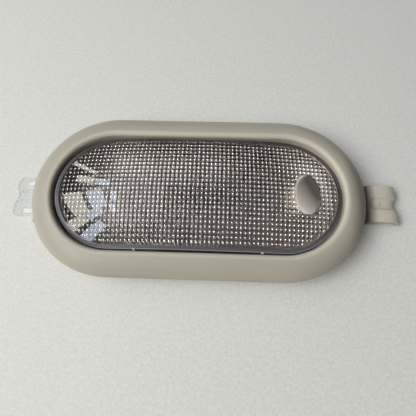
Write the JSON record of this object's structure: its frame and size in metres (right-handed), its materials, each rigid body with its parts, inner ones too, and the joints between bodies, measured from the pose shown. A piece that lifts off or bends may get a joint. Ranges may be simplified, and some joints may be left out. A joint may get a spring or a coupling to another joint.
{
  "type": "car dome light",
  "caption": "Stadium-shaped car interior roof lamp with a beige bezel, a domed prismatic push lens, a festoon bulb and a push switch, fixed by a hook tab and a sprung latch tab.",
  "frame": {"origin": "middle of the tray's flat back, below the middle of the stadium outline", "axes": "+X runs along the lamp to the end that is pressed and to the latch tab, +Y across it, +Z out through the lens"},
  "size_m": [0.2184, 0.09, 0.0266],
  "materials": {
    "beige_plastic": "satin",
    "clear_plastic": "clear",
    "lens_plastic": "clear prismatic",
    "metallised": "satin",
    "bulb_glass": "clear",
    "cap_metal": "bright",
    "filament": "dull",
    "leaf_steel": "satin",
    "brass": "satin",
    "black_plastic": "satin",
    "ivory_plastic": "satin",
    "spring_steel": "bright"
  },
  "bodies": {
    "housing": {"bezel": "beige_plastic", "base": "clear_plastic", "reflector": "metallised", "bulb_glass": "bulb_glass", "bulb_cap_left": "cap_metal", "bulb_cap_right": "cap_metal", "bulb_filament": "filament", "clip_left": "leaf_steel", "clip_right": "leaf_steel", "clip_rivets": "brass", "feed_strip": "brass", "switched_strip": "brass", "ground_strip": "brass", "door_strip": "brass", "connector": "black_plastic", "switch_case": "black_plastic", "switch_cover": "ivory_plastic", "plunger_spring": "spring_steel"},
    "lens": {"lens": "lens_plastic", "lens_prisms": "lens_plastic"},
    "plunger": {"plunger": "ivory_plastic", "contact_bridge": "brass"}
  },
  "joints": [
    {"name": "lens_tilt", "type": "hinge", "parent": "housing", "child": "lens", "pos_m": [-0.0705, 0, 0.016], "axis": [0, 1, 0], "range_deg": [0, 0.9], "stiffness_Nm_per_rad": 6, "springref_deg": -3.44},
    {"name": "plunger_press", "type": "slide", "parent": "housing", "child": "plunger", "axis": [0, 0, -1], "range_m": [0, 0.00205], "stiffness_N_per_m": 300, "springref_m": -0.002, "deforming": ["plunger_spring"]}
  ],
  "couplings": [
    {"joint": "plunger_press", "follows": "lens_tilt", "m_per_rad": 0.1275}
  ]
}
